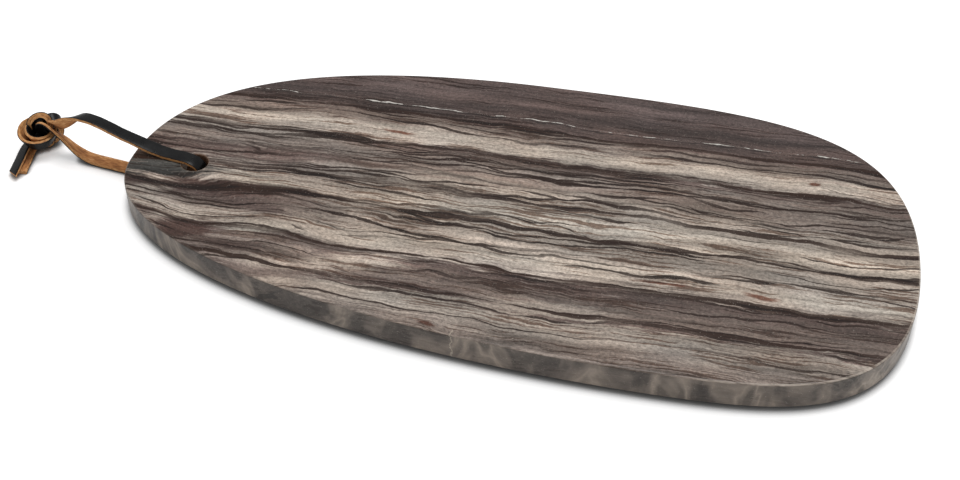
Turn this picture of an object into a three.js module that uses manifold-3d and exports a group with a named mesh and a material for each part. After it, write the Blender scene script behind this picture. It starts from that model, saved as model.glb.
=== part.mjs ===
// Marble serving platter: an egg-shaped stone slab on four clear bumper feet, with a flat leather
// lace looped through a hole near its narrow end and tied in one knot of both strands.
// Millimetres, +Z up. The origin lies on the table under the middle of the slab, and +X runs along
// the slab towards its wide end.
import * as THREE from 'three';
import { mergeVertices } from 'three/addons/utils/BufferGeometryUtils.js';
import Module from 'manifold-3d';

// Slab: overall size, where its tips and crests lie, and the eased edge all round
const slabLength = 412;
const slabWidth = 208;
const slabThickness = 15;
const tipY = -7;
const backCrestX = 1.5;
const frontCrestX = 80.5;
const edgeEasing = 1.2;

// Handle lengths of the four curves of the outline, which set how full each shoulder is
const backNarrowTipHandle = 82;
const backNarrowCrestHandle = 114;
const backWideCrestHandle = 125;
const backWideTipHandle = 111;
const frontWideTipHandle = 90;
const frontWideCrestHandle = 74.5;
const frontNarrowCrestHandle = 153.5;
const frontNarrowTipHandle = 62;

// Hole for the lace near the narrow tip
const holeDiameter = 14;
const holeFromTip = 35;
const holeY = -3;

// Bumper feet: a flat pad that widens into a flange glued to the underside
const footHeight = 2.6;
const footDiameter = 12;
const footPadDiameter = 9;
const footFlange = 0.6;
const footSpanX = 250;
const footSpanY = 110;

// Lace: its section, the clearance to what it meets, and the heading of the loop in plan
const laceWidth = 8;
const laceThickness = 2;
const laceEdgeChamfer = 0.35;
const laceClearance = 0.3;
const laceHeadingDegrees = 172;

// Heights that the lace lies at: on the slab's top face, and on the table under the slab
const slabTop = footHeight + slabThickness;
const onTop = slabTop + laceClearance + laceThickness / 2;
const onTable = footHeight - laceClearance - laceThickness / 2;

// Route of the lace as [distance out from the hole, height]: from inside the knot along the upper
// strand, over the slab, through the hole, back under the slab and along the lower strand
const laceRoute = [
  [100.5, 7.5], [98.6, 12.6], [94.4, 16], [88.5, 17.9], [82.5, 20.6], [76.5, 24.4], [70.5, 27.5],
  [64.5, 29.3], [58.5, 29.5], [51.5, 27.9], [43.5, 25.4], [35, 23], [26, 20.6], [17.5, onTop + 0.2],
  [9, onTop], [4, onTop - 1], [0, onTop - 3.8], [-2.6, (onTop + onTable) / 2], [0, onTable + 3.6],
  [4, onTable + 0.8], [9, onTable], [17.5, onTable], [26, onTable], [35, onTable], [44, onTable],
  [53, onTable], [61, onTable], [67.5, onTable + 0.3], [73, onTable + 2], [77.5, onTable + 5.2],
  [82, onTable + 9.2], [87.5, 13.2], [92.5, 13.4], [96, 10.8], [97.3, 7],
];
// Where the lace bends out of the hole, and where it clears the slab's rim
const bendReach = 10;
const rimReach = 34;
// The strands enter the knot here
const knotReach = 89;

// Knot: a dished wrap of both strands, two loops over its back, and two tails
const knotOut = 100.4;
const knotSide = 0.8;
const wrapRimRadius = 10.6;
const wrapFootRadius = 6.5;
const wrapHeight = 11.6;
const wrapWall = 4.2;
const wrapDish = 3.2;
const loopRadius = 4.6;
const loopWidth = 7.5;
const loopLegs = 6;
const knotLoops = [
  { turnDegrees: 20, out: 1.2, side: -3.4, height: 16 },
  { turnDegrees: 62, out: -5.2, side: -4.2, height: 13.2 },
];
const tailTiltDegrees = 42;
const tails = [
  { name: 'strap_tail_long', length: 25.5, out: 3.2, turnDegrees: 92 },
  { name: 'strap_tail_short', length: 24, out: -3.6, turnDegrees: 95 },
];

// Facets: along each curve of the outline, across the eased edge, round a turned piece, and the
// length of one step along the lace
const outlineFacets = 20;
const easingFacets = 3;
const roundFacets = 32;
const bandFacets = 8;
const laceStep = 3.2;

const wasm = await Module();
wasm.setup();

const platter = new THREE.Group();

// One finish for each material of the object
function finish(color, roughness) {
  return new THREE.MeshStandardMaterial({ color, roughness, metalness: 0 });
}

function addPiece(parent, name, geometry, material) {
  const mesh = new THREE.Mesh(geometry, material);
  mesh.name = name;
  parent.add(mesh);
  return mesh;
}

// Closed solids for joining and cutting, and back again
function toSolid(geometry) {
  const bare = geometry.clone();
  bare.deleteAttribute('normal');
  bare.deleteAttribute('uv');
  const merged = mergeVertices(bare, 1e-4);
  return new wasm.Manifold(new wasm.Mesh({
    numProp: 3,
    vertProperties: new Float32Array(merged.attributes.position.array),
    triVerts: new Uint32Array(merged.index.array),
  }));
}

function toGeometry(solid) {
  const mesh = solid.getMesh();
  const geometry = new THREE.BufferGeometry();
  geometry.setAttribute('position', new THREE.BufferAttribute(mesh.vertProperties, 3));
  geometry.setIndex(new THREE.BufferAttribute(mesh.triVerts, 1));
  geometry.computeVertexNormals();
  return geometry;
}

// Slab: four curves meet at the two tips and the two crests, where the outline runs along Y or X
function slabOutline() {
  const tipX = slabLength / 2;
  const crestY = slabWidth / 2;
  const outline = new THREE.Shape();
  outline.moveTo(-tipX, tipY);
  outline.bezierCurveTo(-tipX, tipY - frontNarrowTipHandle,
    frontCrestX - frontNarrowCrestHandle, -crestY, frontCrestX, -crestY);
  outline.bezierCurveTo(frontCrestX + frontWideCrestHandle, -crestY,
    tipX, tipY - frontWideTipHandle, tipX, tipY);
  outline.bezierCurveTo(tipX, tipY + backWideTipHandle,
    backCrestX + backWideCrestHandle, crestY, backCrestX, crestY);
  outline.bezierCurveTo(backCrestX - backNarrowCrestHandle, crestY,
    -tipX, tipY + backNarrowTipHandle, -tipX, tipY);
  return outline;
}

const holeX = holeFromTip - slabLength / 2;
const slabShape = slabOutline();
const laceHole = new THREE.Path();
laceHole.absarc(holeX, holeY, holeDiameter / 2, 0, 2 * Math.PI, true);
slabShape.holes.push(laceHole);
const slabGeometry = new THREE.ExtrudeGeometry(slabShape, {
  depth: slabThickness - 2 * edgeEasing,
  curveSegments: outlineFacets,
  bevelEnabled: true,
  bevelThickness: edgeEasing,
  bevelSize: edgeEasing,
  bevelOffset: -edgeEasing,
  bevelSegments: easingFacets,
});
const slab = addPiece(platter, 'marble_slab', slabGeometry, finish(0x8b7d73, 0.2));
slab.position.z = footHeight + edgeEasing;

// Feet: four turned bumpers, set in from the ends so that the lace passes clear of them
const footProfile = [
  new THREE.Vector2(0, 0),
  new THREE.Vector2(footPadDiameter / 2, 0),
  new THREE.Vector2(footDiameter / 2, footHeight - footFlange),
  new THREE.Vector2(footDiameter / 2, footHeight),
  new THREE.Vector2(0, footHeight),
];
const footMaterial = finish(0xd8d8d4, 0.5);
for (const [sideX, nameX] of [[-1, 'narrow'], [1, 'wide']]) {
  for (const [sideY, nameY] of [[-1, 'front'], [1, 'back']]) {
    const footGeometry = new THREE.LatheGeometry(footProfile, roundFacets);
    footGeometry.rotateX(Math.PI / 2);
    const foot = addPiece(platter, `foot_${nameY}_${nameX}`, footGeometry, footMaterial);
    foot.position.set(sideX * footSpanX / 2, sideY * footSpanY / 2, 0);
  }
}

// Lace: everything on it lies in a group at the hole, with X out along the loop
const lace = new THREE.Group();
lace.position.set(holeX, holeY, 0);
lace.rotation.z = THREE.MathUtils.degToRad(laceHeadingDegrees);
platter.add(lace);
const leather = finish(0x2a211c, 0.6);

const routeCurve = new THREE.SplineCurve(laceRoute.map(([out, height]) => new THREE.Vector2(out, height)));
routeCurve.arcLengthDivisions = 2000;
const routeLength = routeCurve.getLength();

// Length along the route where it first, or last, passes a distance out from the hole
function lengthAt(reach, onLowerStrand) {
  const probes = 4000;
  for (let i = 0; i <= probes; i += 1) {
    const share = onLowerStrand ? 1 - i / probes : i / probes;
    if (routeCurve.getPointAt(share).x <= reach) return share * routeLength;
  }
  throw new Error('the route never comes that close to the hole');
}

// Closed outline of a band of lace along a line of points, half its thickness to each side
function bandShape(points, tangents, thickness) {
  const left = points.map((point, i) => new THREE.Vector2(-tangents[i].y, tangents[i].x)
    .multiplyScalar(thickness / 2).add(point));
  const right = points.map((point, i) => new THREE.Vector2(tangents[i].y, -tangents[i].x)
    .multiplyScalar(thickness / 2).add(point));
  return new THREE.Shape([...right, ...left.reverse()]);
}

// A band stands upright in the group's XZ plane, with its width across that plane
function bandGeometry(shape, width) {
  const geometry = new THREE.ExtrudeGeometry(shape, {
    depth: width - 2 * laceEdgeChamfer,
    curveSegments: bandFacets,
    bevelEnabled: true,
    bevelThickness: laceEdgeChamfer,
    bevelSize: laceEdgeChamfer,
    bevelOffset: -laceEdgeChamfer,
    bevelSegments: 1,
  });
  geometry.translate(0, 0, laceEdgeChamfer - width / 2);
  geometry.rotateX(Math.PI / 2);
  return geometry;
}

// One stretch of the lace, from one length along the route to another
function laceStretch(fromLength, toLength) {
  const steps = Math.ceil((toLength - fromLength) / laceStep);
  const points = [];
  const tangents = [];
  for (let i = 0; i <= steps; i += 1) {
    const share = (fromLength + (toLength - fromLength) * i / steps) / routeLength;
    points.push(routeCurve.getPointAt(share));
    tangents.push(routeCurve.getTangentAt(share));
  }
  return bandGeometry(bandShape(points, tangents, laceThickness), laceWidth);
}

const halfGap = laceClearance / 2;
const upperKnot = lengthAt(knotReach, false);
const upperRim = lengthAt(rimReach, false);
const upperBend = lengthAt(bendReach, false);
const lowerBend = lengthAt(bendReach, true);
const lowerRim = lengthAt(rimReach, true);
const lowerKnot = lengthAt(knotReach, true);
addPiece(lace, 'strap_upper_strand', laceStretch(upperKnot + halfGap, upperRim - halfGap), leather);
addPiece(lace, 'strap_upper_run', laceStretch(upperRim + halfGap, upperBend - halfGap), leather);
addPiece(lace, 'strap_hole_bend', laceStretch(upperBend + halfGap, lowerBend - halfGap), leather);
addPiece(lace, 'strap_lower_run', laceStretch(lowerBend + halfGap, lowerRim - halfGap), leather);
addPiece(lace, 'strap_lower_strand', laceStretch(lowerRim + halfGap, lowerKnot - halfGap), leather);

// Knot: the wrap is a dished round of both strands standing on the table. Its size grows by
// a margin where it is the tool that cuts the tails back.
function wrapSolid(margin) {
  const profile = [
    new THREE.Vector2(0, 0),
    new THREE.Vector2(wrapFootRadius + margin, 0),
    new THREE.Vector2(wrapRimRadius + margin, wrapHeight - laceThickness),
    new THREE.Vector2(wrapRimRadius + margin, wrapHeight + margin),
    new THREE.Vector2(wrapRimRadius - wrapWall, wrapHeight + margin),
    new THREE.Vector2(0, wrapHeight - wrapDish + margin),
  ];
  const geometry = new THREE.LatheGeometry(profile, roundFacets);
  geometry.rotateX(Math.PI / 2);
  geometry.translate(knotOut, knotSide, 0);
  return toSolid(geometry);
}

// A loop over the back of the knot: a half round of lace on two legs that stand in the wrap
function loopSolid({ turnDegrees, out, side, height }) {
  const outer = loopRadius + laceThickness / 2;
  const inner = loopRadius - laceThickness / 2;
  const shape = new THREE.Shape();
  shape.moveTo(outer, -loopLegs);
  shape.lineTo(outer, 0);
  shape.absarc(0, 0, outer, 0, Math.PI, false);
  shape.lineTo(-outer, -loopLegs);
  shape.lineTo(-inner, -loopLegs);
  shape.lineTo(-inner, 0);
  shape.absarc(0, 0, inner, Math.PI, 0, true);
  shape.lineTo(inner, -loopLegs);
  const geometry = bandGeometry(shape, loopWidth);
  geometry.rotateZ(THREE.MathUtils.degToRad(turnDegrees));
  geometry.translate(knotOut + out, knotSide + side, height);
  return toSolid(geometry);
}

let knot = wrapSolid(0);
for (const loop of knotLoops) knot = knot.add(loopSolid(loop));
knot = knot.add(toSolid(laceStretch(0, upperKnot - halfGap)));
knot = knot.add(toSolid(laceStretch(lowerKnot + halfGap, routeLength)));
addPiece(lace, 'strap_knot', toGeometry(knot), leather);

// Tails: straight ends of the lace that lean on their edges and leave from under the wrap
function tailGeometry({ length, out, turnDegrees }) {
  const tilt = THREE.MathUtils.degToRad(tailTiltDegrees);
  const leanHeight = laceWidth / 2 * Math.sin(tilt) + laceThickness / 2;
  const points = [new THREE.Vector2(0, 0), new THREE.Vector2(length / 2, 0), new THREE.Vector2(length, 0)];
  const along = points.map(() => new THREE.Vector2(1, 0));
  const geometry = bandGeometry(bandShape(points, along, laceThickness), laceWidth);
  geometry.rotateX(tilt);
  geometry.rotateZ(THREE.MathUtils.degToRad(turnDegrees));
  geometry.translate(knotOut + out, knotSide, leanHeight);
  return toGeometry(toSolid(geometry).subtract(wrapSolid(laceClearance)));
}

for (const tail of tails) addPiece(lace, tail.name, tailGeometry(tail), leather);

export default platter;
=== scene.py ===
# Marble serving platter: an egg-shaped stone slab on bumper feet, with a knotted leather lace.
# Metres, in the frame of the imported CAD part: +X runs to the slab's wide end, +Z is up.
import math

import bpy
from mathutils import Matrix, Vector


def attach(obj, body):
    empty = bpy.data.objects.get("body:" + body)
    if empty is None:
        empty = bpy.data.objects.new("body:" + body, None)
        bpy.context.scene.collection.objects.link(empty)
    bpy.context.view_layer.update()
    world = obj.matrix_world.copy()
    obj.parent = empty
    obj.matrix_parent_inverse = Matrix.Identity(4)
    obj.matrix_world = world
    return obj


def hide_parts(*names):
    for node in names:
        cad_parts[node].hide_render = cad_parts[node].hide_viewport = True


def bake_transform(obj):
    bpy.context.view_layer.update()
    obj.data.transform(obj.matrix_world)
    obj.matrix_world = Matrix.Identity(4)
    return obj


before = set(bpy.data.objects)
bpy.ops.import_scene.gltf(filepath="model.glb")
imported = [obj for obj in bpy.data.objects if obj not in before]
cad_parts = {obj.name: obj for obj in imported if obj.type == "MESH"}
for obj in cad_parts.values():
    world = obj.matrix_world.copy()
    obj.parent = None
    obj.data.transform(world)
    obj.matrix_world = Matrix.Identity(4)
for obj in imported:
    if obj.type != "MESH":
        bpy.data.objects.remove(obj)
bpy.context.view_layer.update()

# Slab: one plate of banded marble, sawn 15 mm thick, cut to an egg outline on a router, drilled
# for the lace, eased by hand at its edges and honed to a soft polish.

MM = 0.001
slab_length, slab_width, slab_thickness = 412 * MM, 208 * MM, 15 * MM
slab_underside = 2.6 * MM
slab_top = slab_underside + slab_thickness
edge_easing = 1.2 * MM
easing_rings = 4
curve_steps = 56
weld_distance = 0.02 * MM
slab_sharp_angle = math.radians(35)
tip_x, crest_y = slab_length / 2, slab_width / 2
tip_y, back_crest_x, front_crest_x = -7 * MM, 1.5 * MM, 80.5 * MM
hole_centre = Vector((-171 * MM, -3 * MM, 0))
hole_radius = 7 * MM

# The outline's four stations, each with its handles to the curve before and after it
outline_stations = [
    ((-tip_x, tip_y), (0, 82 * MM), (0, -62 * MM)),
    ((front_crest_x, -crest_y), (-153.5 * MM, 0), (74.5 * MM, 0)),
    ((tip_x, tip_y), (0, -90 * MM), (0, 111 * MM)),
    ((back_crest_x, crest_y), (125 * MM, 0), (-114 * MM, 0)),
]

bpy.ops.object.select_all(action="DESELECT")
bpy.ops.curve.primitive_bezier_circle_add(radius=crest_y, location=(0, 0, 0))
slab = bpy.context.object
slab.name = "slab"
for point, (station, before, after) in zip(slab.data.splines[0].bezier_points, outline_stations):
    point.handle_left_type = point.handle_right_type = "FREE"
    point.co = (*station, 0)
    point.handle_left = (station[0] + before[0], station[1] + before[1], 0)
    point.handle_right = (station[0] + after[0], station[1] + after[1], 0)
bpy.ops.object.mode_set(mode="EDIT")
bpy.ops.curve.select_all(action="DESELECT")
bpy.ops.curve.primitive_bezier_circle_add(radius=hole_radius, location=hole_centre)
bpy.ops.object.mode_set(mode="OBJECT")
slab.data.dimensions = "2D"
slab.data.fill_mode = "BOTH"
slab.data.resolution_u = curve_steps
slab.data.extrude = slab_thickness / 2 - edge_easing
slab.data.bevel_depth = edge_easing
slab.data.bevel_resolution = easing_rings
slab.data.offset = -edge_easing
bpy.ops.object.convert(target="MESH")
bpy.ops.object.mode_set(mode="EDIT")
bpy.ops.mesh.select_all(action="SELECT")
bpy.ops.mesh.remove_doubles(threshold=weld_distance)
bpy.ops.mesh.normals_make_consistent(inside=False)
bpy.ops.transform.translate(value=(0, 0, slab_underside + slab_thickness / 2))
bpy.ops.object.mode_set(mode="OBJECT")
bpy.ops.object.shade_smooth_by_angle(angle=slab_sharp_angle)
slab.modifiers.new("flat_faces", "WEIGHTED_NORMAL").keep_sharp = True
bpy.ops.object.modifier_apply(modifier="flat_faces")


def linear(hex_colour):
    """A colour given as sRGB hex, as the linear colour that the nodes take."""
    parts = [int(hex_colour[i:i + 2], 16) / 255 for i in (1, 3, 5)]
    return (*(c / 12.92 if c <= 0.04045 else ((c + 0.055) / 1.055) ** 2.4 for c in parts), 1)


def add_node(material, kind, inputs=None, stops=None, **settings):
    """Adds a node with its settings. Each input is a value, another node, or one of its sockets.
    Map Range takes its value at 0, turns the range from 1 to 2 into 3 to 4, and Mix takes its two
    colours at 6 and 7. The stops are a colour ramp's."""
    made = material.node_tree.nodes.new(kind)
    for name, value in settings.items():
        setattr(made, name, value)
    for socket, value in (inputs or {}).items():
        if isinstance(value, bpy.types.Node):
            value = next(output for output in value.outputs if output.enabled)
        if isinstance(value, bpy.types.NodeSocket):
            material.node_tree.links.new(value, made.inputs[socket])
        else:
            made.inputs[socket].default_value = value
    if stops:
        ramp = made.color_ramp.elements
        while len(ramp) < len(stops):
            ramp.new(1)
        for element, (position, colour) in zip(ramp, stops):
            element.position, element.color = position, colour
    return made


def new_material(name):
    """An empty node material with its shader linked to the output."""
    material = bpy.data.materials.new(name)
    material.use_nodes = True
    material.node_tree.nodes.clear()
    shader = add_node(material, "ShaderNodeBsdfPrincipled")
    add_node(material, "ShaderNodeOutputMaterial", {"Surface": shader})
    return material, shader


# Banded marble, honed: mud layers squeezed into thin streaks and cut across, so that bands of
# cream, taupe and purple-brown run along the slab, with dark seams that swell into lenses, and
# white calcite that filled one broken seam. The polish is soft, with a low even gloss.
marble, marble_shader = new_material("honed_banded_marble")
coordinates = add_node(marble, "ShaderNodeTexCoord")
in_mm = add_node(marble, "ShaderNodeVectorMath", {
    0: coordinates.outputs["Object"], 1: (1 / MM,) * 3}, operation="MULTIPLY")
apart = add_node(marble, "ShaderNodeSeparateXYZ", {0: in_mm})
along, across, height = apart.outputs
noise_middle = 0.5

# How the layers buckle: lengths of one undulation in mm along X, Y and Z, its detail, and its
# reach. The fold lies at the narrow end and mostly in front, and all the layers dip with depth.
buckling = {
    "swell": ((210, 120, 120), 1.0, 13),
    "ripple": ((56, 30, 26), 2.0, 8),
    "tremor": ((13, 7, 7), 4.0, 4),
    "fold": ((72, 46, 60), 1.5, 52),
}
fold_starts_x, fold_full_x = -70, -190
fold_starts_y, fold_full_y, fold_at_back = 30, -35, 0.12
dip = 0.45
bedding = across
narrow_end = add_node(marble, "ShaderNodeMapRange", {
    0: along, 1: fold_starts_x, 2: fold_full_x, 3: 0, 4: 1}, interpolation_type="SMOOTHSTEP")
front_side = add_node(marble, "ShaderNodeMapRange", {
    0: across, 1: fold_starts_y, 2: fold_full_y, 3: fold_at_back, 4: 1},
    interpolation_type="SMOOTHSTEP")
folded = add_node(marble, "ShaderNodeMath", {0: narrow_end, 1: front_side}, operation="MULTIPLY")
for name, (lengths, detail, reach) in buckling.items():
    scaled = add_node(marble, "ShaderNodeVectorMath", {
        0: in_mm, 1: tuple(1 / size for size in lengths)}, operation="MULTIPLY")
    noise = add_node(marble, "ShaderNodeTexNoise", {
        "Vector": scaled, "Scale": 1, "Detail": detail})
    shift = add_node(marble, "ShaderNodeMath", {0: noise, 1: noise_middle}, operation="SUBTRACT")
    if name == "fold":
        shift = add_node(marble, "ShaderNodeMath", {0: shift, 1: folded}, operation="MULTIPLY")
    bedding = add_node(marble, "ShaderNodeMath", {0: shift, 1: reach, 2: bedding},
                       operation="MULTIPLY_ADD")
bedding = add_node(marble, "ShaderNodeMath", {0: height, 1: dip, 2: bedding},
                   operation="MULTIPLY_ADD")
bedding = add_node(marble, "ShaderNodeMath", {0: bedding, 1: dip * slab_top / MM},
                   operation="SUBTRACT")
layered = add_node(marble, "ShaderNodeCombineXYZ", {0: along, 1: bedding, 2: height})

# Noises laid in the layers: lengths in mm along, across and through them, detail, roughness. Each
# is moved on from the one before it, so that no two look alike.
layer_noises = {
    "cloud": ((70, 13, 40), 4, 0.55),
    "warmth": ((60, 22, 40), 2, 0.5),
    "band": ((150, 6, 18), 3, 0.55),
    "streak": ((40, 1.6, 4), 4, 0.6),
    "thread": ((30, 1.15, 3), 4, 0.6),
    "cluster": ((80, 8, 18), 2, 0.5),
    "second": ((110, 40, 40), 2, 0.5),
    "third": ((90, 34, 40), 2, 0.5),
    "fourth": ((75, 30, 40), 2, 0.5),
    "swelling": ((60, 6, 16), 3, 0.55),
    "fading": ((95, 9, 20), 2, 0.5),
    "broken": ((11, 3, 7), 4, 0.65),
    "crystal": ((2.1, 1.3, 1.3), 4, 0.75),
    "speck": ((0.8, 0.6, 0.6), 1, 0.5),
}
moved_on = (17.3, 5.1, 2.7)
layer_noise = {}
for number, (name, (lengths, detail, roughness)) in enumerate(layer_noises.items()):
    placed = add_node(marble, "ShaderNodeMapping", {
        "Vector": layered, "Scale": tuple(1 / size for size in lengths),
        "Location": tuple(step * number for step in moved_on)})
    layer_noise[name] = add_node(marble, "ShaderNodeTexNoise", {
        "Vector": placed, "Scale": 1, "Detail": detail, "Roughness": roughness})

# Tones of the stone, and the tone of each layer from the front edge to the back edge by its place
# in mm: first along most of the slab, then at the folded narrow end. Noises fray the layers.
tones = {
    "cream": "#b7ab9f", "sand": "#b0a297", "stone": "#a5998f", "taupe": "#90837b",
    "mud": "#7d6e66", "umber": "#5f4e49", "chocolate": "#442e28", "plum": "#5e4f4c",
    # The last tone is the dark grey of a painted shadow that the lace casts beside the hole.
    "dark_plum": "#4d403d", "painted_lace_shadow": "#343635",
}
main_layers = [
    (-106, "mud"), (-92, "taupe"), (-84, "stone"), (-77, "stone"), (-73, "umber"), (-68, "mud"),
    (-52, "umber"), (-49, "taupe"), (-46, "sand"), (-39, "cream"), (-33, "sand"), (-25, "stone"),
    (-21, "stone"), (-18, "stone"), (-15.5, "cream"), (-8, "cream"), (-3, "stone"), (1, "stone"),
    (8, "stone"), (16, "mud"), (22, "taupe"), (28, "mud"), (34.5, "umber"), (37.5, "stone"),
    (41, "sand"), (45, "cream"), (49, "sand"), (53, "taupe"), (59, "mud"), (62, "umber"),
    (75, "dark_plum"), (90, "plum"),
]
narrow_layers = [
    (-106, "mud"), (-86, "taupe"), (-78, "umber"), (-70, "taupe"), (-62, "mud"), (-56, "taupe"),
    (-50, "umber"), (-44, "stone"), (-37, "sand"), (-30, "mud"), (-22, "umber"),
    (-18, "chocolate"), (-14, "sand"), (-6, "sand"), (0, "mud"), (5, "taupe"), (10, "umber"),
    (15, "umber"), (22, "taupe"), (27, "mud"), (31, "stone"), (34, "taupe"), (38, "stone"),
    (42, "sand"), (46, "cream"), (49, "sand"), (53, "mud"), (58, "mud"), (63, "umber"),
    (75, "dark_plum"), (90, "plum"),
]
widest = 110
layer_fray = {"streak": 24, "broken": 14}
narrow_starts, narrow_full, narrow_fray = 0, -60, 120
where = add_node(marble, "ShaderNodeMapRange", {0: bedding, 1: -widest, 2: widest, 3: 0, 4: 1})
frayed_where = where
for name, reach in layer_fray.items():
    shift = add_node(marble, "ShaderNodeMath", {0: layer_noise[name], 1: noise_middle},
                     operation="SUBTRACT")
    frayed_where = add_node(marble, "ShaderNodeMath", {
        0: shift, 1: reach / (2 * widest), 2: frayed_where}, operation="MULTIPLY_ADD")
grounds = [add_node(marble, "ShaderNodeValToRGB", {0: frayed_where}, [
    ((place + widest) / (2 * widest), linear(tones[tone])) for place, tone in layers])
    for layers in (main_layers, narrow_layers)]
turned = add_node(marble, "ShaderNodeMath", {
    0: layer_noise["cloud"], 1: narrow_fray, 2: along}, operation="MULTIPLY_ADD")
turned = add_node(marble, "ShaderNodeMapRange", {
    0: turned, 1: narrow_starts, 2: narrow_full, 3: 0, 4: 1}, interpolation_type="SMOOTHSTEP")
stone = add_node(marble, "ShaderNodeMix", {
    "Factor": turned, 6: grounds[0], 7: grounds[1]}, data_type="RGBA")

# Patches where the layers were folded over, by tone and how solid they are, and last a dark grey
# band beside the hole that is a painted shadow of the lace: place along and across in mm, half
# length and half breadth in mm, and turn in degrees. Noises fray and streak them.
patches = [
    ("cream", 0, [(-132, -9, 24, 6, -2), (-164, -46, 20, 4, 6), (-122, -46, 27, 5.5, 10)]),
    ("sand", 0, [
        (-72, -62, 34, 7, 16), (25, -74, 40, 7, 3), (46, -88, 36, 5, 2), (130, -87, 32, 5, 9),
        (-108, -70, 22, 5, 5), (-100, -81, 14, 4, 4), (-188, -28, 14, 4, 10)]),
    ("mud", 0, [(-184, -15, 30, 5.5, -2)]),
    ("umber", 0.1, [(-128, -30, 22, 6, -4), (-133, -61, 26, 5, 6)]),
    ("chocolate", 0.45, [(-154, -19.4, 30, 3.2, 5), (-159, -55, 16, 7, 12)]),
    # painted shadow of the lace on the stone beside the hole
    ("painted_lace_shadow", 0.5, [(-191, -10.2, 26, 5.8, 6)]),
]
rim_fray, patch_streaks = 1.4, 2.6
patch_core, patch_rim, patch_cover = 1.65, 2.5, 0.92
through_slab = 10000
frayed = add_node(marble, "ShaderNodeMath", {0: layer_noise["broken"], 1: noise_middle},
                  operation="SUBTRACT")


def nearest_of(places, laid_in):
    """How far a point is from the nearest of some ovals, as a share of the oval's size, frayed."""
    nearest = None
    for centre_x, centre_y, half_length, half_breadth, turn in places:
        local = add_node(marble, "ShaderNodeMapping", {
            "Vector": laid_in, "Location": (centre_x, centre_y, 0),
            "Rotation": (0, 0, math.radians(turn)),
            "Scale": (half_length, half_breadth, through_slab)}, vector_type="TEXTURE")
        away = add_node(marble, "ShaderNodeVectorMath", {0: local}, operation="LENGTH")
        away = away.outputs["Value"]
        nearest = away if nearest is None else add_node(
            marble, "ShaderNodeMath", {0: nearest, 1: away}, operation="MINIMUM")
    return add_node(marble, "ShaderNodeMath", {0: frayed, 1: rim_fray, 2: nearest},
                    operation="MULTIPLY_ADD")


for tone, solid, places in patches:
    streaked = add_node(marble, "ShaderNodeMath", {
        0: layer_noise["streak"], 1: patch_streaks, 2: nearest_of(places, in_mm)},
        operation="MULTIPLY_ADD")
    patch = add_node(marble, "ShaderNodeMapRange", {
        0: streaked, 1: patch_core + solid, 2: patch_rim + solid, 3: patch_cover, 4: 0},
        interpolation_type="SMOOTHSTEP")
    stone = add_node(marble, "ShaderNodeMix", {
        "Factor": patch, 6: stone, 7: linear(tones[tone])}, data_type="RGBA")

# Light and dark within the layers, by noise: its range, and the shade at each end of it. Then a
# faint cast that drifts from cool to warm.
shades = (
    ("cloud", 0.32, 0.68, 0.72, 1.22), ("band", 0.34, 0.66, 0.66, 1.22),
    ("streak", 0.32, 0.68, 0.74, 1.2), ("crystal", 0.34, 0.66, 0.58, 1.38))
cool_cast, warm_cast = (0.98, 1.02, 1.03, 1), (1.04, 1.01, 0.97, 1)
shading = None
for name, low, high, dark, light in shades:
    shade = add_node(marble, "ShaderNodeMapRange", {
        0: layer_noise[name], 1: low, 2: high, 3: dark, 4: light})
    shading = shade if shading is None else add_node(
        marble, "ShaderNodeMath", {0: shading, 1: shade}, operation="MULTIPLY")
stone = add_node(marble, "ShaderNodeVectorMath", {0: stone, 3: shading}, operation="SCALE")
cast = add_node(marble, "ShaderNodeValToRGB", {0: layer_noise["warmth"]}, [
    (0.35, cool_cast), (0.65, warm_cast)])
stone = add_node(marble, "ShaderNodeVectorMath", {0: stone, 1: cast}, operation="MULTIPLY")

# Lenses caught between the layers, by tint: place along and across, half length and half breadth
# in mm. A ragged noise frays their ends.
lenses = {
    (0.52, 0.45, 0.42): [
        (-33, 37.5, 14, 2.6), (26, 34, 40, 3), (157, 34, 22, 3.2), (68, 19, 19, 2.4),
        (-80, 13, 28, 3), (-122, -55, 28, 3)],
    (0.34, 0.18, 0.14): [
        (-72, 45, 11, 1.8), (83, -42.5, 17, 1.4), (131, -42.5, 10, 2.1), (-22, -95, 6, 1.9),
        (153, 44, 4, 2.4)],
    (0.66, 0.64, 0.63): [(130, 55, 48, 9), (136, -82, 50, 9), (122, -12, 38, 5), (40, -94, 44, 5)],
    (1.55, 1.52, 1.48): [(-58, -60, 50, 8)],
    (1.22, 1.21, 1.2): [
        (10, 51, 36, 5), (-45, 52, 36, 4), (-85, -42, 44, 6), (-42, -28, 52, 12), (40, 57, 40, 5)],
}
lens_core, lens_rim = 0.45, 1.05
for tint, places in lenses.items():
    ragged = nearest_of([(*place, 0) for place in places], layered)
    lens = add_node(marble, "ShaderNodeMapRange", {
        0: ragged, 1: lens_core, 2: lens_rim, 3: 1, 4: 0}, interpolation_type="SMOOTHSTEP")
    stone = add_node(marble, "ShaderNodeMix", {"Factor": lens, 6: stone, 7: (*tint, 1)},
                     data_type="RGBA", blend_type="MULTIPLY")

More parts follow.
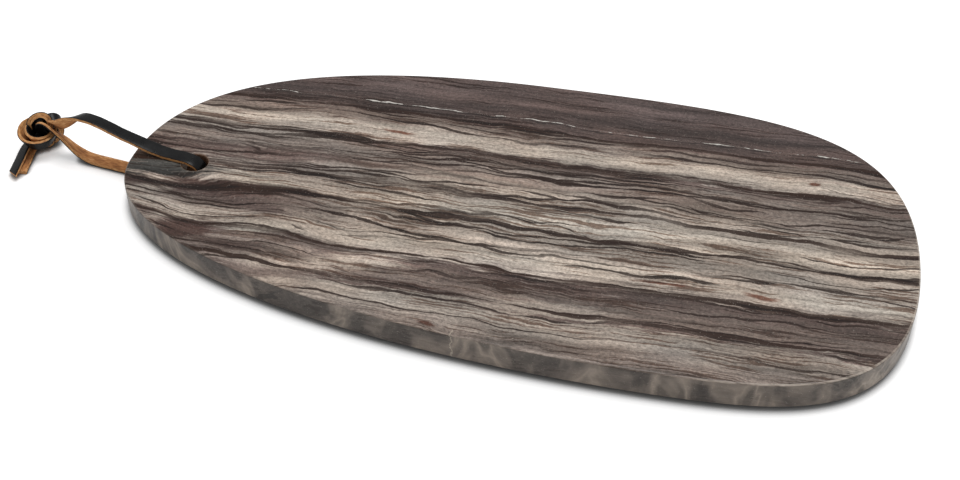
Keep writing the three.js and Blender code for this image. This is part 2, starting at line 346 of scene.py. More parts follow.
# Dark seams in four sets that drift across each other, so that seams part and meet. Each set has
# the noise that shifts it, the reach of a seam in mm, how near counts as seam where it is thin and
# where it is swollen, its darkness, and the places of its seams in mm. Nearness falls off from 1 at
# the place to 0 at the reach.
seam_sets = [
    (None, 3.2, 0.93, 0.4, 0.94, [-72, -49.5, -18.5, 0, 34.5, 62]),
    ("second", 1.5, 1.02, 0.3, 0.92, [-77, -52, -31, -20, 3, 13, 24, 31, 52.5, 57]),
    ("third", 1.4, 1.04, 0.3, 0.9, [-88, -68, -34, -16, -2, 9, 19, 28, 36, 60]),
    ("fourth", 1.3, 1.04, 0.35, 0.9, [-60, -40, -24, -8, 6, 11, 17, 22, 27, 33]),
]
seam_drift = 22
main_seam_colour, side_seam_colour = "#2a170d", "#24130b"
swelling_low, swelling_high = 0.3, 0.64
seam_outside, seam_inside = -0.07, 0.06
fading_low, fading_high, faintest = 0.36, 0.5, 0.45
main_seam = None
for drift, reach, thin, swollen, darkness, places in seam_sets:
    lie = where
    if drift:
        lie = add_node(marble, "ShaderNodeMath", {0: layer_noise[drift], 1: noise_middle},
                       operation="SUBTRACT")
        lie = add_node(marble, "ShaderNodeMath", {
            0: lie, 1: seam_drift / (2 * widest), 2: where}, operation="MULTIPLY_ADD")
    nearness = add_node(marble, "ShaderNodeValToRGB", {0: lie}, [
        ((place + offset + widest) / (2 * widest), (value,) * 3 + (1,))
        for place in places for offset, value in ((-reach, 0), (0, 1), (reach, 0))])
    needed = add_node(marble, "ShaderNodeMapRange", {
        0: layer_noise["swelling"], 1: swelling_low, 2: swelling_high, 3: thin, 4: swollen})
    over = add_node(marble, "ShaderNodeMath", {0: nearness, 1: needed}, operation="SUBTRACT")
    line = add_node(marble, "ShaderNodeMapRange", {
        0: over, 1: seam_outside, 2: seam_inside, 3: 0, 4: darkness},
        interpolation_type="SMOOTHSTEP")
    faded = add_node(marble, "ShaderNodeMapRange", {
        0: layer_noise["fading"], 1: fading_low, 2: fading_high, 3: faintest, 4: 1})
    line = add_node(marble, "ShaderNodeMath", {0: line, 1: faded}, operation="MULTIPLY")
    main_seam = main_seam or line
    stone = add_node(marble, "ShaderNodeMix", {
        "Factor": line, 6: stone, 7: linear(side_seam_colour if drift else main_seam_colour)},
        data_type="RGBA")

# Hair-thin dark threads between the seams, gathered in clusters
cluster_pull, thread_from, thread_full, thread_cover = 0.6, 0.85, 0.92, 0.9
thread_tint = (0.3, 0.21, 0.17, 1)
gathered = add_node(marble, "ShaderNodeMath", {
    0: layer_noise["cluster"], 1: cluster_pull, 2: layer_noise["thread"]},
    operation="MULTIPLY_ADD")
threads = add_node(marble, "ShaderNodeMapRange", {
    0: gathered, 1: thread_from, 2: thread_full, 3: 0, 4: thread_cover},
    interpolation_type="SMOOTHSTEP")
stone = add_node(marble, "ShaderNodeMix", {"Factor": threads, 6: stone, 7: thread_tint},
                 data_type="RGBA", blend_type="MULTIPLY")

# White calcite in one broken seam near the back, with a black hairline in front of it: how far each
# lies from the seam in mm, the range of the noise that breaks it, its breadth in mm, and colour
calcite_place = 70.3
calcite_lines = ((-1.4, 0.35, 0.65, 0.8, "#231d1b"), (0, 0.52, 0.76, 1.2, "#dcd8d0"))
least_breadth, line_core, line_rim, line_cover = 0.02, 0.3, 1.2, 0.85
for offset, noise_low, noise_high, most, colour in calcite_lines:
    distance = add_node(marble, "ShaderNodeMath", {0: bedding, 1: calcite_place + offset},
                        operation="SUBTRACT")
    distance = add_node(marble, "ShaderNodeMath", {0: distance}, operation="ABSOLUTE")
    breadth = add_node(marble, "ShaderNodeMapRange", {
        0: layer_noise["broken"], 1: noise_low, 2: noise_high, 3: least_breadth, 4: most})
    share = add_node(marble, "ShaderNodeMath", {0: distance, 1: breadth}, operation="DIVIDE")
    filling = add_node(marble, "ShaderNodeMapRange", {
        0: share, 1: line_core, 2: line_rim, 3: line_cover, 4: 0},
        interpolation_type="SMOOTHSTEP")
    stone = add_node(marble, "ShaderNodeMix", {
        "Factor": filling, 6: stone, 7: linear(colour)}, data_type="RGBA")

# The sides are ground across the layers, which shows as blotches, and their colours are darker than
# the top's, partly the ground face's own tone and partly painted shade where the light from above
# misses them
blotch_size = (24, 26, 40)
side_from, side_full, side_cover = 0.6, 0.3, 0.8
facing = add_node(marble, "ShaderNodeNewGeometry").outputs["Normal"]
facing = add_node(marble, "ShaderNodeSeparateXYZ", {0: facing}).outputs["Z"]
blotch_place = add_node(marble, "ShaderNodeVectorMath", {
    0: in_mm, 1: tuple(1 / size for size in blotch_size)}, operation="MULTIPLY")
side_blotches_and_shade = add_node(marble, "ShaderNodeTexNoise", {
    "Vector": blotch_place, "Scale": 1, "Detail": 3, "Distortion": 0.9})
# darker than the top: the ground face's tone with painted shade in it
side_blotches_and_shade = add_node(marble, "ShaderNodeValToRGB", {0: side_blotches_and_shade}, [
    (0.36, linear("#393532")), (0.45, linear("#4c4742")), (0.49, linear("#665e57")),
    (0.56, linear("#7f756b")), (0.6, linear("#978b7f")), (0.68, linear("#5e5750"))])
side = add_node(marble, "ShaderNodeMapRange", {
    0: facing, 1: side_from, 2: side_full, 3: 0, 4: side_cover})
stone = add_node(marble, "ShaderNodeMix", {"Factor": side, 6: stone, 7: side_blotches_and_shade}, data_type="RGBA")

# Pale crystal specks, and one healed crack, pale and hair thin, across the layers at the front
# edge: its place along and across, half its length, its wander and the fade of its ends, in mm
speck_from, speck_full, speck_cover = 0.67, 0.75, 0.2
crack_x, crack_y, crack_half_length, crack_wander, crack_fade = -9, -101, 4, 7, 2
crack_core, crack_rim, crack_cover = 0.1, 0.45, 0.45
specks = add_node(marble, "ShaderNodeMapRange", {
    0: layer_noise["speck"], 1: speck_from, 2: speck_full, 3: 0, 4: speck_cover})
stone = add_node(marble, "ShaderNodeMix", {
    "Factor": specks, 6: stone, 7: linear("#d3c9bd")}, data_type="RGBA")
aside = add_node(marble, "ShaderNodeMath", {
    0: layer_noise["broken"], 1: crack_wander, 2: along}, operation="MULTIPLY_ADD")
aside = add_node(marble, "ShaderNodeMath", {0: aside, 1: crack_x + crack_wander / 2},
                 operation="SUBTRACT")
aside = add_node(marble, "ShaderNodeMath", {0: aside}, operation="ABSOLUTE")
crack = add_node(marble, "ShaderNodeMapRange", {
    0: aside, 1: crack_core, 2: crack_rim, 3: crack_cover, 4: 0})
lengthways = add_node(marble, "ShaderNodeMath", {0: across, 1: crack_y}, operation="SUBTRACT")
lengthways = add_node(marble, "ShaderNodeMath", {0: lengthways}, operation="ABSOLUTE")
ends = add_node(marble, "ShaderNodeMapRange", {
    0: lengthways, 1: crack_half_length, 2: crack_half_length + crack_fade, 3: 1, 4: 0})
crack = add_node(marble, "ShaderNodeMath", {0: crack, 1: ends}, operation="MULTIPLY")
stone = add_node(marble, "ShaderNodeMix", {
    "Factor": crack, 6: stone, 7: linear("#cbbfae")}, data_type="RGBA")

# The hole's wall and the rim round it take a brown painted shade, standing for the shade inside the
# hole and the tan light that the lace throws into it, and a white patch lies on the wall at its
# left, below the rim. Radii and places are in mm.
hole_shade_full, hole_shade_ends, hole_shade_cover = 7.2, 8, 0.7
white_patch_place, white_patch_core, white_patch_rim = (-177.9, -2.8, 13.4), 3.6, 4.4
white_patch_fray, white_patch_cover = 5, 0.95
from_hole = add_node(marble, "ShaderNodeVectorMath", {
    0: in_mm, 1: tuple(hole_centre / MM)}, operation="SUBTRACT")
from_hole = add_node(marble, "ShaderNodeVectorMath", {0: from_hole, 1: (1, 1, 0)},
                     operation="MULTIPLY")
from_hole = add_node(marble, "ShaderNodeVectorMath", {0: from_hole}, operation="LENGTH")
# brown painted shade in the hole and on its rim, with the lace's reflected tan light painted in
hole_shade = add_node(marble, "ShaderNodeMapRange", {
    0: from_hole.outputs["Value"], 1: hole_shade_full, 2: hole_shade_ends, 3: hole_shade_cover, 4: 0})
stone = add_node(marble, "ShaderNodeMix", {
    "Factor": hole_shade, 6: stone, 7: linear("#6b4a33")}, data_type="RGBA")
from_white_patch = add_node(marble, "ShaderNodeVectorMath", {0: in_mm, 1: white_patch_place},
                       operation="DISTANCE")
from_white_patch = add_node(marble, "ShaderNodeMath", {
    0: frayed, 1: white_patch_fray, 2: from_white_patch.outputs["Value"]}, operation="MULTIPLY_ADD")
white_patch = add_node(marble, "ShaderNodeMapRange", {
    0: from_white_patch, 1: white_patch_core, 2: white_patch_rim, 3: white_patch_cover, 4: 0})
stone = add_node(marble, "ShaderNodeMix", {
    "Factor": white_patch, 6: stone, 7: linear("#faf7ee")}, data_type="RGBA")

# The eased edge carries a pale painted highlight, broken by noise and strongest at the wide end. It
# is known by how far up its surface faces.
BLACK, WHITE = (0, 0, 0, 1), (1, 1, 1, 1)
highlight_low, highlight_high, least_highlight, most_highlight = 0.35, 0.62, 0.1, 0.65
faint_highlight_x, full_highlight_x, faint_highlight_share = 60, 130, 0.15
eased = add_node(marble, "ShaderNodeValToRGB", {0: facing}, [
    (0.35, BLACK), (0.6, WHITE), (0.93, WHITE), (0.99, BLACK)])
edge_highlight = add_node(marble, "ShaderNodeMapRange", {
    0: layer_noise["broken"], 1: highlight_low, 2: highlight_high, 3: least_highlight, 4: most_highlight})
edge_highlight = add_node(marble, "ShaderNodeMath", {0: edge_highlight, 1: eased}, operation="MULTIPLY")
highlight_along = add_node(marble, "ShaderNodeMapRange", {
    0: along, 1: faint_highlight_x, 2: full_highlight_x, 3: faint_highlight_share, 4: 1})
edge_highlight = add_node(marble, "ShaderNodeMath", {0: edge_highlight, 1: highlight_along}, operation="MULTIPLY")
# pale painted highlight along the eased edge
stone = add_node(marble, "ShaderNodeMix", {
    "Factor": edge_highlight, 6: stone, 7: linear("#c9bdb0")}, data_type="RGBA")
marble.node_tree.links.new(stone.outputs[2], marble_shader.inputs["Base Color"])

# Honing leaves an even gloss, a little duller in the softer streaks, and the seams a little low
glossy, dull = 0.3, 0.42
gloss = add_node(marble, "ShaderNodeMapRange", {
    0: layer_noise["streak"], 1: 0.3, 2: 0.7, 3: glossy, 4: dull})
marble.node_tree.links.new(gloss.outputs[0], marble_shader.inputs["Roughness"])
marble_shader.inputs["IOR"].default_value = 1.5
marble_shader.inputs["Specular IOR Level"].default_value = 0.24
relief = add_node(marble, "ShaderNodeMath", {0: layer_noise["crystal"], 1: main_seam},
                  operation="SUBTRACT")
bump = add_node(marble, "ShaderNodeBump", {
    "Strength": 0.12, "Distance": 0.1 * MM, "Height": relief})
marble.node_tree.links.new(bump.outputs[0], marble_shader.inputs["Normal"])

slab.data.materials.append(marble)
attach(slab, "platter")
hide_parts("marble_slab")

# Bumper feet: four clear silicone bumpers, moulded as low rounded cones with a flat pad, stuck by
# their flanges to the underside so that the stone stands clear of the table.

foot_height, foot_radius, foot_pad_radius, foot_flange = slab_underside, 6 * MM, 4.5 * MM, 0.6 * MM
foot_facets = 64
foot_rounding, rounding_rings = 0.4 * MM, 3
rounded_angle, foot_sharp_angle = math.radians(20), math.radians(30)
foot_places = {
    "foot_front_narrow": (-125 * MM, -55 * MM), "foot_back_narrow": (-125 * MM, 55 * MM),
    "foot_front_wide": (125 * MM, -55 * MM), "foot_back_wide": (125 * MM, 55 * MM),
}

# Silicone rubber, moulded: milky clear with a satin skin and faint dust
silicone, silicone_shader = new_material("moulded_silicone")
silicone_place = add_node(silicone, "ShaderNodeTexCoord")
dust = add_node(silicone, "ShaderNodeTexNoise", {
    "Vector": silicone_place.outputs["Object"], "Scale": 1 / (1.5 * MM), "Detail": 3})
milky = add_node(silicone, "ShaderNodeValToRGB", {0: dust}, [
    (0.35, linear("#c9c9c4")), (0.65, linear("#dadad6"))])
silicone.node_tree.links.new(milky.outputs[0], silicone_shader.inputs["Base Color"])
satin = add_node(silicone, "ShaderNodeMapRange", {0: dust, 1: 0.3, 2: 0.7, 3: 0.35, 4: 0.5})
silicone.node_tree.links.new(satin.outputs[0], silicone_shader.inputs["Roughness"])
silicone_shader.inputs["IOR"].default_value = 1.41
silicone_shader.inputs["Transmission Weight"].default_value = 0.35

for node_name, (foot_x, foot_y) in foot_places.items():
    bpy.ops.object.select_all(action="DESELECT")
    bpy.ops.mesh.primitive_cylinder_add(
        vertices=foot_facets, radius=foot_radius, depth=foot_height,
        location=(foot_x, foot_y, foot_height / 2))
    foot = bpy.context.object
    foot.name = node_name.replace("foot", "bumper")
    bpy.ops.object.transform_apply(location=True, rotation=True, scale=True)
    bpy.ops.object.mode_set(mode="EDIT")
    bpy.ops.mesh.select_mode(type="FACE")
    bpy.ops.mesh.select_all(action="DESELECT")
    bpy.ops.object.mode_set(mode="OBJECT")
    for face in foot.data.polygons:
        face.select = face.normal.z < -0.9
    bpy.ops.object.mode_set(mode="EDIT")
    bpy.ops.transform.translate(value=(0, 0, foot_height - foot_flange))
    bpy.ops.mesh.extrude_region_move(
        TRANSFORM_OT_translate={"value": (0, 0, foot_flange - foot_height)})
    pad_share = foot_pad_radius / foot_radius
    bpy.ops.transform.resize(value=(pad_share, pad_share, 1), center_override=(foot_x, foot_y, 0))
    bpy.ops.object.mode_set(mode="OBJECT")
    rounding = foot.modifiers.new("moulded_rounding", "BEVEL")
    rounding.width, rounding.segments = foot_rounding, rounding_rings
    rounding.limit_method, rounding.angle_limit = "ANGLE", rounded_angle
    bpy.ops.object.modifier_apply(modifier="moulded_rounding")
    bpy.ops.object.shade_smooth_by_angle(angle=foot_sharp_angle)
    foot.data.materials.append(silicone)
    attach(foot, "platter")
    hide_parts(node_name)

# Lace: one flat strip cut from vegetable-tanned hide, 8 mm wide and 2 mm thick, dyed black on its
# grain side and left raw on its flesh side and cut edges. It passes through the hole, and its two
# strands run out to the knot, flesh sides facing.

lace_width, lace_thickness = 8 * MM, 2 * MM
lace_corner, lace_crown = 0.3 * MM, 0.12 * MM
flat_steps, corner_steps, strand_steps = 6, 3, 6
cut_wander, cut_waves = 0.012, (1.3 * MM, 0.47 * MM)
lace_sharp_angle = math.radians(40)
lace_heading = math.radians(172)
lace_out = Vector((math.cos(lace_heading), math.sin(lace_heading), 0))
lace_side = Vector((-math.sin(lace_heading), math.cos(lace_heading), 0))
lace_clearance = 0.3 * MM
on_top = slab_top + lace_clearance + lace_thickness / 2
on_table = slab_underside - lace_clearance - lace_thickness / 2
mid_hole = (on_top + on_table) / 2
upper_dyed, lower_dyed, tail_dyed = 0.55 * MM, 0.28 * MM, 0.1 * MM

# Each strand as distance out from the hole, height, roll in degrees and distance to the side
upper_route = [
    (-4.4 * MM, mid_hole, 0, 0), (-3.4 * MM, on_top - 4.4 * MM, 0, 0),
    (-0.2 * MM, on_top - 1.3 * MM, 0, 0), (4.6 * MM, on_top - 0.1 * MM, 0, 0),
    (10 * MM, on_top, 0, 0), (17.5 * MM, on_top + 0.2 * MM, 0, 0), (26 * MM, 20.6 * MM, 0, 0),
    (35 * MM, 23 * MM, 4, 0), (43.5 * MM, 25.2 * MM, 6, 0), (51.5 * MM, 27.9 * MM, 7, 0),
    (58.5 * MM, 29.8 * MM, 8, 0), (64.5 * MM, 30.4 * MM, 9, 0), (69 * MM, 29.7 * MM, 16, 0),
    (72.6 * MM, 27.8 * MM, 32, 0), (76.5 * MM, 25.2 * MM, 50, 0), (82.5 * MM, 21.3 * MM, 62, 0),
    (88 * MM, 18.4 * MM, 66, -2.4 * MM), (91.2 * MM, 15.4 * MM, 66, -5.2 * MM),
    (93.2 * MM, 11.4 * MM, 60, -6.8 * MM), (94.2 * MM, 7 * MM, 50, -6.8 * MM),
]
lower_route = [
    (-4.4 * MM, mid_hole, 0, 0), (-3.4 * MM, on_table + 4.2 * MM, 0, 0),
    (-0.2 * MM, on_table + 1.1 * MM, 0, 0), (4.6 * MM, on_table + 0.1 * MM, 0, 0),
    (10 * MM, on_table, 0, 0), (17.5 * MM, on_table, 0, 0), (26 * MM, on_table, 0, 0),
    (35 * MM, on_table, 0, 0), (44 * MM, on_table, 0, 0), (53 * MM, on_table, 0, 0),
    (61 * MM, on_table, 0, 0), (67.5 * MM, on_table + 0.6 * MM, 7, 0),
    (73 * MM, on_table + 2.7 * MM, 16, 0), (77.5 * MM, on_table + 5.8 * MM, 26, 0),
    (82 * MM, on_table + 9.8 * MM, 35, 0), (87 * MM, 14.8 * MM, 47, 0.4 * MM),
    (91.6 * MM, 17 * MM, 63, 0.6 * MM), (94.6 * MM, 15.6 * MM, 80, 0.4 * MM),
    (96 * MM, 11.4 * MM, 86, 0),
]

# Which material a zone of the section takes
GRAIN, FLESH, EDGE = 0, 1, 2


def smooth_line(stations, steps):
    """Points on a uniform Catmull-Rom curve through stations of any number of values."""
    line = []
    for i in range(len(stations) - 1):
        p0, p1, p2, p3 = (stations[max(0, min(len(stations) - 1, i + k))] for k in (-1, 0, 1, 2))
        for step in range(steps):
            t = step / steps
            line.append([
                0.5 * (2 * b + (c - a) * t + (2 * a - 5 * b + 4 * c - d) * t ** 2
                       + (3 * b - a - 3 * c + d) * t ** 3)
                for a, b, c, d in zip(p0, p1, p2, p3)])
    line.append(list(stations[-1]))
    return line


def travel_at(centres, i):
    """Which way a line of centres runs at one of them."""
    return (centres[min(i + 1, len(centres) - 1)] - centres[max(i - 1, 0)]).normalized()


def rounded_corner(middle_across, middle_up, start, zone):
    """Points of a section round one corner, clockwise from the angle start in degrees."""
    turns = [math.radians(start - 90 * i / corner_steps) for i in range(corner_steps + 1)]
    return [(middle_across + lace_corner * math.cos(turn), middle_up + lace_corner * math.sin(turn),
             zone) for turn in turns]


def lace_section(width, thickness, dyed):
    """Half-crowned section of the lace as points across and up, clockwise, each with the zone that
    follows it. The dye reaches down the cut edges to the height dyed above the middle."""
    half, top = width / 2, thickness / 2
    flat, step = half - lace_corner, (width - 2 * lace_corner) / flat_steps
    shoulder, heel = top - lace_crown - lace_corner, lace_corner - top
    crowned = [-flat + step * i for i in range(flat_steps)]
    return [
        *((a, top - lace_crown + lace_crown * (1 - (a / half) ** 2), GRAIN) for a in crowned),
        *rounded_corner(flat, shoulder, 90, GRAIN), (half, dyed, EDGE),
        *rounded_corner(flat, heel, 0, EDGE),
        *((flat - step * i, -top, FLESH) for i in range(1, flat_steps)),
        *rounded_corner(-flat, heel, -90, EDGE), (-half, dyed, GRAIN),
        *rounded_corner(-flat, shoulder, -180, GRAIN)]


def lace_strip(name, strips, width, thickness, dyed, slant=0):
    """A mesh of one or more strips of lace, each given by its centres and which way its width lies
    at each. The grain side faces travel x across. The slant moves one edge ahead, for ends cut
    askew."""
    verts, faces, zones, grid = [], [], [], []
    section = lace_section(width, thickness, dyed)
    count = len(section)
    for centres, acrosses in strips:
        first, run = len(verts), 0.0
        for i, (centre, across_way) in enumerate(zip(centres, acrosses)):
            travel = travel_at(centres, i)
            side = (across_way - travel * across_way.dot(travel)).normalized()
            face_up = travel.cross(side)
            if i:
                run += (centre - centres[i - 1]).length
            uneven = 1 + sum(cut_wander * math.sin(run / wave + phase)
                             for phase, wave in enumerate(cut_waves))
            around = 0.0
            for k, (a, b, _) in enumerate(section):
                if k:
                    around += math.hypot(a - section[k - 1][0], b - section[k - 1][1])
                verts.append(centre + (side + travel * slant) * a * uneven + face_up * b)
                grid.append((run, around))
        rows = len(centres)
        for i in range(rows - 1):
            for k in range(count):
                n = (k + 1) % count
                faces.append((first + i * count + k, first + i * count + n,
                              first + (i + 1) * count + n, first + (i + 1) * count + k))
                zones.append(section[k][2])
        faces.append(tuple(first + k for k in reversed(range(count))))
        faces.append(tuple(first + (rows - 1) * count + k for k in range(count)))
        zones += [EDGE, EDGE]
    mesh = bpy.data.meshes.new(name)
    mesh.from_pydata([tuple(v) for v in verts], [], faces)
    piece = bpy.data.objects.new(name, mesh)
    bpy.context.collection.objects.link(piece)
    for material in (leather_grain, leather_flesh, leather_edge):
        mesh.materials.append(material)
    mesh.polygons.foreach_set("material_index", zones)
    lengths = mesh.uv_layers.new(name="lengths")
    for loop in mesh.loops:
        lengths.data[loop.index].uv = grid[loop.vertex_index]
    bpy.ops.object.select_all(action="DESELECT")
    piece.select_set(True)
    bpy.context.view_layer.objects.active = piece
    bpy.ops.object.mode_set(mode="EDIT")
    bpy.ops.mesh.select_all(action="SELECT")
    bpy.ops.mesh.normals_make_consistent(inside=False)
    bpy.ops.object.mode_set(mode="OBJECT")
    bpy.ops.object.shade_smooth_by_angle(angle=lace_sharp_angle)
    return piece


# Grain side: vegetable-tanned hide, dyed through its surface and waxed, nearly black with a cool
# sheen and fine pores
leather_grain, grain_shader = new_material("waxed_black_grain_leather")
grain_place = add_node(leather_grain, "ShaderNodeTexCoord")
pores = add_node(leather_grain, "ShaderNodeTexVoronoi", {
    "Vector": grain_place.outputs["Object"], "Scale": 1 / (0.55 * MM)})
wear = add_node(leather_grain, "ShaderNodeTexNoise", {
    "Vector": grain_place.outputs["Object"], "Scale": 1 / (6 * MM), "Detail": 4})
dye = add_node(leather_grain, "ShaderNodeValToRGB", {0: wear}, [
    (0.35, linear("#0a0a0b")), (0.6, linear("#0f0f10")), (0.75, linear("#161617"))])
leather_grain.node_tree.links.new(dye.outputs[0], grain_shader.inputs["Base Color"])
grain_shader.inputs["Specular IOR Level"].default_value = 0.22
waxed = add_node(leather_grain, "ShaderNodeMapRange", {0: wear, 1: 0.3, 2: 0.7, 3: 0.24, 4: 0.38})
leather_grain.node_tree.links.new(waxed.outputs[0], grain_shader.inputs["Roughness"])
pore_bump = add_node(leather_grain, "ShaderNodeBump", {
    "Strength": 0.25, "Distance": 0.08 * MM, "Height": pores})
leather_grain.node_tree.links.new(pore_bump.outputs[0], grain_shader.inputs["Normal"])

# Flesh side: the raw inside of the hide, tan, matt and fibrous, with fibres lying along the strip
leather_flesh, flesh_shader = new_material("raw_flesh_side_leather")
flesh_place = add_node(leather_flesh, "ShaderNodeUVMap", uv_map="lengths")
fibre_place = add_node(leather_flesh, "ShaderNodeVectorMath", {
    0: flesh_place, 1: (1 / (3.2 * MM), 1 / (0.5 * MM), 1)}, operation="MULTIPLY")
fibres = add_node(leather_flesh, "ShaderNodeTexNoise", {
    "Vector": fibre_place, "Scale": 1, "Detail": 4})
stain_place = add_node(leather_flesh, "ShaderNodeVectorMath", {
    0: flesh_place, 1: (1 / (8 * MM), 1 / (3 * MM), 1)}, operation="MULTIPLY")
stains = add_node(leather_flesh, "ShaderNodeTexNoise", {
    "Vector": stain_place, "Scale": 1, "Detail": 2})
mixed = add_node(leather_flesh, "ShaderNodeMath", {0: fibres, 1: stains}, operation="ADD")
mixed = add_node(leather_flesh, "ShaderNodeMath", {0: mixed, 1: 0.5}, operation="MULTIPLY")
tan = add_node(leather_flesh, "ShaderNodeValToRGB", {0: mixed}, [
    (0.34, linear("#6f4524")), (0.48, linear("#a16a3a")), (0.56, linear("#b67f4c")),
    (0.66, linear("#d0a06d"))])
leather_flesh.node_tree.links.new(tan.outputs[0], flesh_shader.inputs["Base Color"])
flesh_shader.inputs["Roughness"].default_value = 0.85
fibre_bump = add_node(leather_flesh, "ShaderNodeBump", {
    "Strength": 0.5, "Distance": 0.15 * MM, "Height": fibres})
leather_flesh.node_tree.links.new(fibre_bump.outputs[0], flesh_shader.inputs["Normal"])

# Cut edges: the hide's section, orange-tan, paler where fibres catch the light
leather_edge, edge_shader = new_material("cut_edge_leather")
edge_place = add_node(leather_edge, "ShaderNodeUVMap", uv_map="lengths")
edge_fibre_place = add_node(leather_edge, "ShaderNodeVectorMath", {
    0: edge_place, 1: (1 / (2.4 * MM), 1 / (0.4 * MM), 1)}, operation="MULTIPLY")
edge_fibres = add_node(leather_edge, "ShaderNodeTexNoise", {
    "Vector": edge_fibre_place, "Scale": 1, "Detail": 4})
edge_tan = add_node(leather_edge, "ShaderNodeValToRGB", {0: edge_fibres}, [
    (0.32, linear("#7d4c26")), (0.48, linear("#b27a45")), (0.66, linear("#d9a970"))])
leather_edge.node_tree.links.new(edge_tan.outputs[0], edge_shader.inputs["Base Color"])
edge_shader.inputs["Roughness"].default_value = 0.75
edge_bump = add_node(leather_edge, "ShaderNodeBump", {
    "Strength": 0.4, "Distance": 0.12 * MM, "Height": edge_fibres})
leather_edge.node_tree.links.new(edge_bump.outputs[0], edge_shader.inputs["Normal"])


def strand_line(route):
    """Centres of a strand in the row frame, and which way its width lies at each."""
    line = smooth_line(route, strand_steps)
    centres = [hole_centre + lace_out * out + lace_side * aside + Vector((0, 0, up))
               for out, up, _, aside in line]
    acrosses = [Matrix.Rotation(math.radians(roll), 3, travel_at(centres, i)) @ lace_side
                for i, (_, _, roll, _) in enumerate(line)]
    return centres, acrosses


upper_centres, upper_acrosses = strand_line(upper_route)
lower_centres, lower_acrosses = strand_line(lower_route)
upper_strand = lace_strip("lace_upper_strand", [(upper_centres, upper_acrosses)],
                          lace_width, lace_thickness, upper_dyed)
lower_strand = lace_strip("lace_lower_strand", [(lower_centres, [-a for a in lower_acrosses])],
                          lace_width, lace_thickness, lower_dyed)

# Knot: both strands of the leather tied together in one overhand knot and pulled tight. Two
# layers, flesh sides facing, wind into a dished wrap, with a loop over its back and the bend
# behind it.

knot_width = 7.2 * MM
knot_dyed = 0.42 * MM
knot_steps = 8
layer_offset = 1.02 * MM


def in_lace(out, side, up):
    """A way given in mm out along the loop, to its side, and up."""
    return (lace_out * out + lace_side * side + Vector((0, 0, up))) * MM


def one_layer(stations):
    """A strip along stations of (out, side, up, across out, across side, across up)."""
    line = smooth_line(stations, knot_steps)
    return ([hole_centre + in_lace(*values[:3]) for values in line],
            [in_lace(*values[3:]).normalized() for values in line])


def two_layers(stations):
    """Two strips along the same stations, flesh to flesh."""
    centres, acrosses = one_layer(stations)
    strips = []
    for way in (1, -1):
        shifted = []
        for i, centre in enumerate(centres):
            travel = travel_at(centres, i)
            side = (acrosses[i] - travel * acrosses[i].dot(travel)).normalized()
            shifted.append(centre + travel.cross(side) * way * layer_offset)
        strips.append((shifted, [a * way for a in acrosses]))
    return strips


# The wrap's layers: middle out and to the side, radius and rise in mm, lean in degrees, and grain
# side out or in. Then, by turn in degrees, how high the strip stands in mm and its share of the
# radius.
wrap_layers = (
    (98.2, 0.8, 8.4, 0, 28, 1), (97, 0.3, 5.6, 0.9, 22, -1), (97.6, 0.4, 3.5, -3.9, 64, -1))
wrap_turns = (
    (-80, 13.4, 0.85), (-48, 13.4, 0.95), (-15, 12.8, 1), (15, 11.7, 1), (45, 10.5, 1),
    (75, 9.7, 1), (105, 9.3, 1), (135, 9.2, 1), (165, 9.3, 1), (195, 9.6, 1), (212, 9.2, 0.95),
    (228, 7.6, 0.8))
knot_strips = []
for middle_out, middle_side, radius, rise, lean, way in wrap_layers:
    tilt = math.radians(lean)
    stations = []
    for degrees, up, share in wrap_turns:
        out, side = math.cos(math.radians(degrees)), math.sin(math.radians(degrees))
        stations.append((
            middle_out + radius * share * out, middle_side + radius * share * side, up + rise,
            way * math.sin(tilt) * out, way * math.sin(tilt) * side, way * math.cos(tilt)))
    knot_strips.append(one_layer(stations))

# The loop over the back by its front edge, then the bend behind it, the core and the turn
# underneath by their middles, each of both layers, and which way each lies across
arch_across = (0.54, -0.61, -0.57)
arch_front = [
    (102.8, 0.6, 14.5), (102.2, 0, 16.9), (100.8, -0.6, 19.3), (98.1, -1.6, 21.4),
    (94.9, -2.4, 22.3), (92.3, -2.6, 21.6), (91.1, -2.4, 19.5), (91.2, -2.2, 16.8), (92, -2.6, 14)]
half_knot_width = knot_width / MM / 2
knot_strips += two_layers([
    (*(f + a * half_knot_width for f, a in zip(front, arch_across)), *arch_across)
    for front in arch_front])
knot_courses = (
    ((0.61, -0.69, 0.39), (
        (99.4, -3.6, 6), (98.4, -4.6, 9), (97.2, -5.7, 11.6), (95.9, -6.9, 14.2), (94, -8.5, 15.4),
        (92.2, -10, 13.8), (91.8, -10.4, 11), (92.4, -9.7, 8), (94, -8.2, 5.4), (96.4, -5.8, 3.8),
        (99, -3.4, 3.4))),
    ((0.66, -0.75, 0.25), (
        (93.6, -1.4, 6.4), (96.5, 0, 7.4), (99.5, 1.4, 6.8), (102.5, 2.6, 4.6))),
    ((0.5, -0.86, 0.08), (
        (105.2, -1.4, 6.4), (103.6, -2.2, 3.8), (100.6, -3.4, 2.4), (97.4, -4.6, 2.4),
        (95.2, -5.4, 4), (94.4, -5.8, 7.4))),
)
for course_across, course in knot_courses:
    knot_strips += two_layers([(*place, *course_across) for place in course])
knot = lace_strip("lace_knot", knot_strips, knot_width, lace_thickness, knot_dyed)
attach(knot, "strap_loop")
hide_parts("strap_knot")

# Tails: the leather's two ends, cut with a knife and left free in front of the knot, one grain side
# up and one under it with its flesh side up.

tail_width = 5.8 * MM

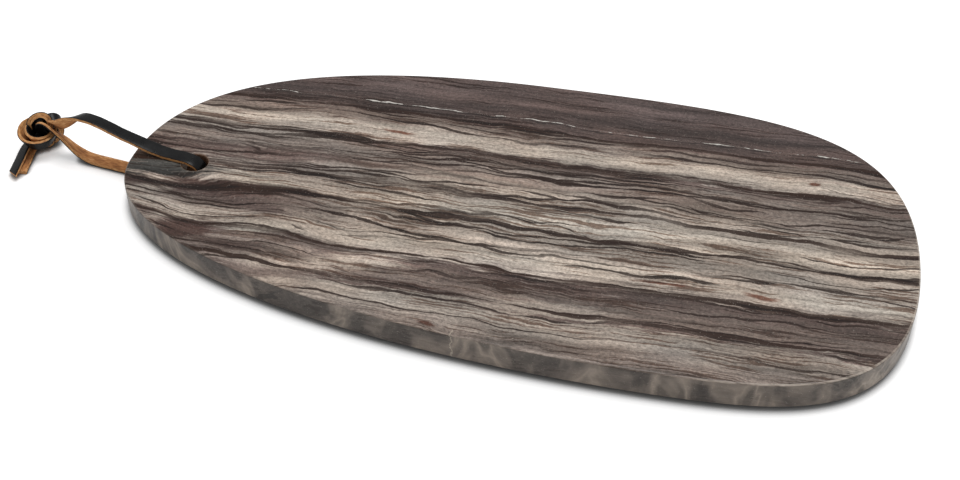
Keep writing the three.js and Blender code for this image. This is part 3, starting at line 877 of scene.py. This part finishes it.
# Each tail's stations in mm, which way it lies across, and the slant of its cut
tail_lines = {
    "strap_tail_long": (
        [(103.5, -4, 4.4), (104.2, 1, 4.4), (103.9, 7.4, 4.1), (101.2, 17.6, 3.6),
         (98.7, 27.6, 2.9)], (-0.94, 0.16, 0.3), 0.85),
    "strap_tail_short": (
        [(103, -4, 2.4), (103.2, 0, 2.0), (102.4, 5, 1.5), (99.4, 14.4, 1.3),
         (96.6, 23.2, 1.2)], (0.95, -0.2, 0.05), 0),
}
for node_name, (stations, across_way, slant) in tail_lines.items():
    centres = [hole_centre + in_lace(*values) for values in smooth_line(stations, knot_steps)]
    acrosses = [in_lace(*across_way).normalized()] * len(centres)
    tail = lace_strip(node_name.replace("strap", "lace"), [(centres, acrosses)],
                      tail_width, lace_thickness, tail_dyed, slant)
    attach(tail, "strap_loop")
    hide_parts(node_name)

# The strands bend where they leave the slab's rim, and end in the knot
for strand, centres, nodes in (
        (upper_strand, upper_centres, ("strap_hole_bend", "strap_upper_run", "strap_upper_strand")),
        (lower_strand, lower_centres, ("strap_lower_run", "strap_lower_strand"))):
    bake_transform(strand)
    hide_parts(*nodes)

# Floor, light and camera: a white paper sweep under one large soft box, high behind the platter,
# in a white room.

floor_size = 12
contact_shade_reach, contact_dark, floor_lift = 4.5 * MM, 0.55, 0.34
room_light, backdrop_light = 0.47, 1
lamp_place, lamp_size, lamp_power = Vector((0.35, 0.7, 3.9)), 2.4, 100
camera_place = Vector((98.81, -541.03, 486.0)) * MM
camera_aim = Vector((-9.35, -32.2, 17.6)) * MM
sensor_width, focal_length = 36, 52.5

# Matt white paper, washed out for camera rays by a glow except close beside what stands on it,
# where ambient occlusion also darkens its colour as a painted contact shadow
paper, paper_shader = new_material("white_paper_sweep")
paper_shader.inputs["Roughness"].default_value = 0.9
paper_shader.inputs["Specular IOR Level"].default_value = 0
light_path = add_node(paper, "ShaderNodeLightPath")
painted_contact_shade = add_node(paper, "ShaderNodeAmbientOcclusion", {
    "Color": linear("#f8f8f8"), "Distance": contact_shade_reach}, samples=16)
# painted contact shadow: the paper's colour darkened by ambient occlusion
paper.node_tree.links.new(painted_contact_shade.outputs["Color"], paper_shader.inputs["Base Color"])
open_floor = add_node(paper, "ShaderNodeMapRange", {
    0: painted_contact_shade.outputs["AO"], 1: contact_dark, 2: 1, 3: 0, 4: floor_lift},
    interpolation_type="SMOOTHSTEP")
lift = add_node(paper, "ShaderNodeMath", {
    0: light_path.outputs["Is Camera Ray"], 1: open_floor}, operation="MULTIPLY")
paper_shader.inputs["Emission Color"].default_value = WHITE
paper.node_tree.links.new(lift.outputs[0], paper_shader.inputs["Emission Strength"])

bpy.ops.object.select_all(action="DESELECT")
bpy.ops.mesh.primitive_plane_add(size=floor_size, location=(0, 0, 0))
floor = bpy.context.object
floor.name = "floor"
floor.data.materials.append(paper)

room = bpy.data.worlds.new("white_room")
bpy.context.scene.world = room
room.use_nodes = True
backdrop = room.node_tree.nodes["Background"]
backdrop.inputs["Color"].default_value = WHITE
seen = add_node(room, "ShaderNodeLightPath").outputs["Is Camera Ray"]
glow = add_node(room, "ShaderNodeMapRange", {0: seen, 1: 0, 2: 1, 3: room_light, 4: backdrop_light})
room.node_tree.links.new(glow.outputs[0], backdrop.inputs["Strength"])

lamp = bpy.data.lights.new("soft_box", "AREA")
lamp.size, lamp.energy = lamp_size, lamp_power
lamp_object = bpy.data.objects.new("soft_box", lamp)
bpy.context.collection.objects.link(lamp_object)
lamp_object.location = lamp_place
lamp_object.rotation_euler = (-lamp_place).to_track_quat("-Z", "Y").to_euler()

camera = bpy.data.cameras.new("camera")
camera.sensor_width, camera.lens = sensor_width, focal_length
camera_object = bpy.data.objects.new("camera", camera)
bpy.context.collection.objects.link(camera_object)
camera_object.location = camera_place
camera_object.rotation_euler = (camera_aim - camera_place).to_track_quat("-Z", "Y").to_euler()
bpy.context.scene.camera = camera_object
bpy.context.scene.view_settings.view_transform = "Standard"

bpy.context.view_layer.update()
